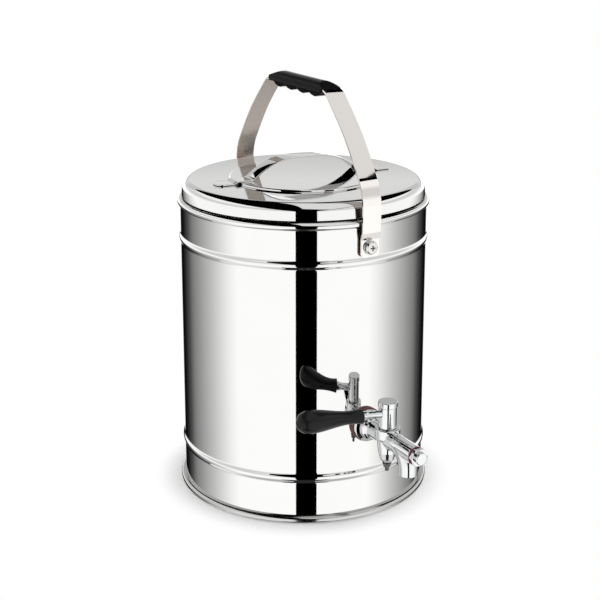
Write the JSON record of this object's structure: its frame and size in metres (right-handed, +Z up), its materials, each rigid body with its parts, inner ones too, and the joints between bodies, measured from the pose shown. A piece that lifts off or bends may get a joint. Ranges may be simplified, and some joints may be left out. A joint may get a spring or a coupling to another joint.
{
  "type": "tea urn",
  "caption": "Insulated polished-steel tea urn: beaded cylindrical can with lift-off lid, swinging strap bail with moulded grip, and a chromed plug-cock tap with a pear-shaped lever.",
  "frame": {"origin": "centre of the foot ring's resting face, on the urn's axis", "axes": "+Z up along the urn's axis, -Y out along the tap, +X to the right as the tap is faced"},
  "size_m": [0.2278, 0.3139, 0.3725],
  "materials": {
    "polished_steel": "polished",
    "liner_steel": "satin",
    "strap_steel": "satin",
    "fastener_steel": "satin",
    "chrome_plate": "polished",
    "red_rubber": "matte",
    "black_plastic": "satin",
    "mineral_wool": "matte"
  },
  "bodies": {
    "urn": {"outer_casing": "polished_steel", "inner_liner": "liner_steel", "insulation_sleeve": "mineral_wool", "base_insulation": "mineral_wool", "bottom_plate": "liner_steel", "foot_ring": "polished_steel", "pivot_screws": "fastener_steel", "pivot_washers": "fastener_steel", "pivot_spacers": "fastener_steel", "pivot_nuts": "fastener_steel", "tap_body": "chrome_plate", "tap_rosette": "chrome_plate", "wall_gasket": "red_rubber", "wall_sleeve": "fastener_steel", "inner_gasket": "red_rubber", "lock_nut": "chrome_plate", "end_plug": "chrome_plate", "end_plug_washer": "red_rubber"},
    "tap_key": {"tap_plug": "chrome_plate", "tail_washer": "chrome_plate", "tail_nut": "chrome_plate", "lever_rod": "fastener_steel", "lever_ferrule": "chrome_plate", "lever_grip": "black_plastic"},
    "bail": {"bail_strap": "strap_steel", "bail_grip": "black_plastic"},
    "lid": {"lid_shell": "polished_steel", "lid_inner_pan": "liner_steel", "lid_insulation": "mineral_wool", "lid_handle": "polished_steel"}
  },
  "joints": [
    {"name": "bail_swing", "type": "hinge", "parent": "urn", "child": "bail", "pos_m": [0, 0, 0.2435], "axis": [0, 1, 0], "range_deg": [-102, 102]},
    {"name": "lid_lift", "type": "slide", "parent": "urn", "child": "lid", "axis": [0, 0, 1], "range_m": [0, 0.012]},
    {"name": "tap_turn", "type": "hinge", "parent": "urn", "child": "tap_key", "pos_m": [0, -0.144, 0.086], "axis": [0, 0, 1], "range_deg": [0, 90]}
  ]
}
